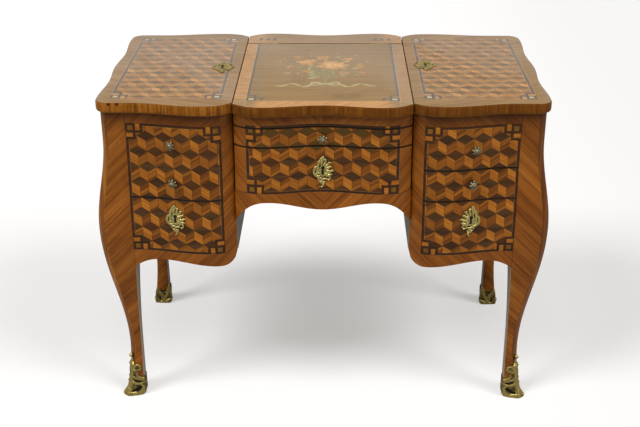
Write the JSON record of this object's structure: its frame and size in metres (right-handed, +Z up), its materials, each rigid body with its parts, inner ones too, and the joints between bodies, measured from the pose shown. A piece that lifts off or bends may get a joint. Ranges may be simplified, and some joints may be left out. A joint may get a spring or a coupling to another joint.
{
  "type": "dressing table",
  "caption": "Poudreuse dressing table: outward-folding side lids, mirror flap, writing slide, lockable drawers, kneehole and cabriole legs in parquetry veneer.",
  "frame": {"origin": "on the floor under the middle of the table", "axes": "+Z up, +X to the sitter's right when facing the front from outside, front towards -Y"},
  "size_m": [1.006, 0.566, 0.7519],
  "materials": {
    "carcase_veneer": "French polished kingwood-coloured veneer with diagonal grain",
    "cube_parquetry": "French polished cube parquetry in three woods with Greek-key stringing",
    "lid_parquetry": "polished cube parquetry with crossbanded edge",
    "flap_marquetry": "polished marquetry of flowers and ribbon in a crossbanded border",
    "oak": "plain waxed oak",
    "painted_oak": "grey-green stained oak",
    "dark_frame": "dark polished moulding",
    "mirror": "silvered glass",
    "gilt_bronze": "chased gilt bronze, worn",
    "aged_brass": "aged silvery brass",
    "hinge_brass": "plain rolled brass",
    "lock_steel": "filed steel"
  },
  "bodies": {
    "carcase": {"leg_front_left": "carcase_veneer", "leg_front_right": "carcase_veneer", "leg_back_left": "carcase_veneer", "leg_back_right": "carcase_veneer", "sabot_front_left": "gilt_bronze", "sabot_front_right": "gilt_bronze", "sabot_back_left": "gilt_bronze", "sabot_back_right": "gilt_bronze", "side_panel_left": "carcase_veneer", "side_panel_right": "carcase_veneer", "back_panel": "carcase_veneer", "partition_left": "painted_oak", "partition_right": "painted_oak", "inner_stile_left": "carcase_veneer", "inner_stile_right": "carcase_veneer", "side_aprons": "carcase_veneer", "centre_apron": "carcase_veneer", "side_top_rails": "carcase_veneer", "centre_top_rail": "carcase_veneer", "false_front_left": "cube_parquetry", "false_front_right": "cube_parquetry", "well_floor_left": "oak", "well_floor_right": "oak", "pedestal_bottoms": "oak", "dust_boards": "oak", "centre_bottom_board": "oak", "mirror_well_floor": "oak", "back_strip": "flap_marquetry", "case_hinge_leaves": "hinge_brass", "false_front_knobs": "aged_brass"},
    "left_lid": {"lid_left": "lid_parquetry", "lid_left_hinge_leaves": "hinge_brass", "lid_left_lock": "gilt_bronze"},
    "right_lid": {"lid_right": "lid_parquetry", "lid_right_hinge_leaves": "hinge_brass", "lid_right_lock": "gilt_bronze"},
    "flap": {"mirror_flap": "flap_marquetry", "flap_hinge_leaves": "hinge_brass", "mirror_frame": "dark_frame", "mirror_glass": "mirror"},
    "writing_slide": {"slide_front": "cube_parquetry", "slide_board": "oak", "slide_knob": "aged_brass"},
    "centre_drawer": {"centre_drawer_front": "cube_parquetry", "centre_drawer_box": "oak", "centre_drawer_lock": "gilt_bronze"},
    "left_drawer": {"left_drawer_front": "cube_parquetry", "left_drawer_box": "oak", "left_drawer_lock": "gilt_bronze"},
    "middle_drawer": {"middle_drawer_front": "cube_parquetry", "middle_drawer_box": "oak", "middle_drawer_knob": "aged_brass"},
    "right_drawer": {"right_drawer_front": "cube_parquetry", "right_drawer_box": "oak", "right_drawer_lock": "gilt_bronze"},
    "left_lid_bolt": {"lid_left_bolt": "lock_steel"},
    "right_lid_bolt": {"lid_right_bolt": "lock_steel"},
    "centre_bolt": {"centre_drawer_bolt": "lock_steel"},
    "left_bolt": {"left_drawer_bolt": "lock_steel"},
    "right_bolt": {"right_drawer_bolt": "lock_steel"}
  },
  "joints": [
    {"name": "left_lid_hinge", "type": "hinge", "parent": "carcase", "child": "left_lid", "pos_m": [-0.4825, 0, 0.72875], "axis": [0, -1, 0], "range_deg": [0, 94]},
    {"name": "right_lid_hinge", "type": "hinge", "parent": "carcase", "child": "right_lid", "pos_m": [0.4825, 0, 0.72875], "axis": [0, 1, 0], "range_deg": [0, 94]},
    {"name": "flap_hinge", "type": "hinge", "parent": "carcase", "child": "flap", "pos_m": [0, 0.193, 0.7478], "axis": [-1, 0, 0], "range_deg": [0, 100]},
    {"name": "writing_slide_travel", "type": "slide", "parent": "carcase", "child": "writing_slide", "axis": [0, -1, 0], "range_m": [0, 0.27]},
    {"name": "centre_drawer_travel", "type": "slide", "parent": "carcase", "child": "centre_drawer", "axis": [0, -1, 0], "range_m": [0, 0.32]},
    {"name": "left_drawer_travel", "type": "slide", "parent": "carcase", "child": "left_drawer", "axis": [0, -1, 0], "range_m": [0, 0.32]},
    {"name": "middle_drawer_travel", "type": "slide", "parent": "carcase", "child": "middle_drawer", "axis": [0, -1, 0], "range_m": [0, 0.32]},
    {"name": "right_drawer_travel", "type": "slide", "parent": "carcase", "child": "right_drawer", "axis": [0, -1, 0], "range_m": [0, 0.32]},
    {"name": "left_lid_bolt_throw", "type": "slide", "parent": "left_lid", "child": "left_lid_bolt", "axis": [1, 0, 0], "range_m": [0, 0.008]},
    {"name": "right_lid_bolt_throw", "type": "slide", "parent": "right_lid", "child": "right_lid_bolt", "axis": [-1, 0, 0], "range_m": [0, 0.008]},
    {"name": "centre_bolt_throw", "type": "slide", "parent": "centre_drawer", "child": "centre_bolt", "axis": [0, 0, 1], "range_m": [0, 0.006]},
    {"name": "left_bolt_throw", "type": "slide", "parent": "left_drawer", "child": "left_bolt", "axis": [0, 0, 1], "range_m": [0, 0.006]},
    {"name": "right_bolt_throw", "type": "slide", "parent": "right_drawer", "child": "right_bolt", "axis": [0, 0, 1], "range_m": [0, 0.006]}
  ]
}
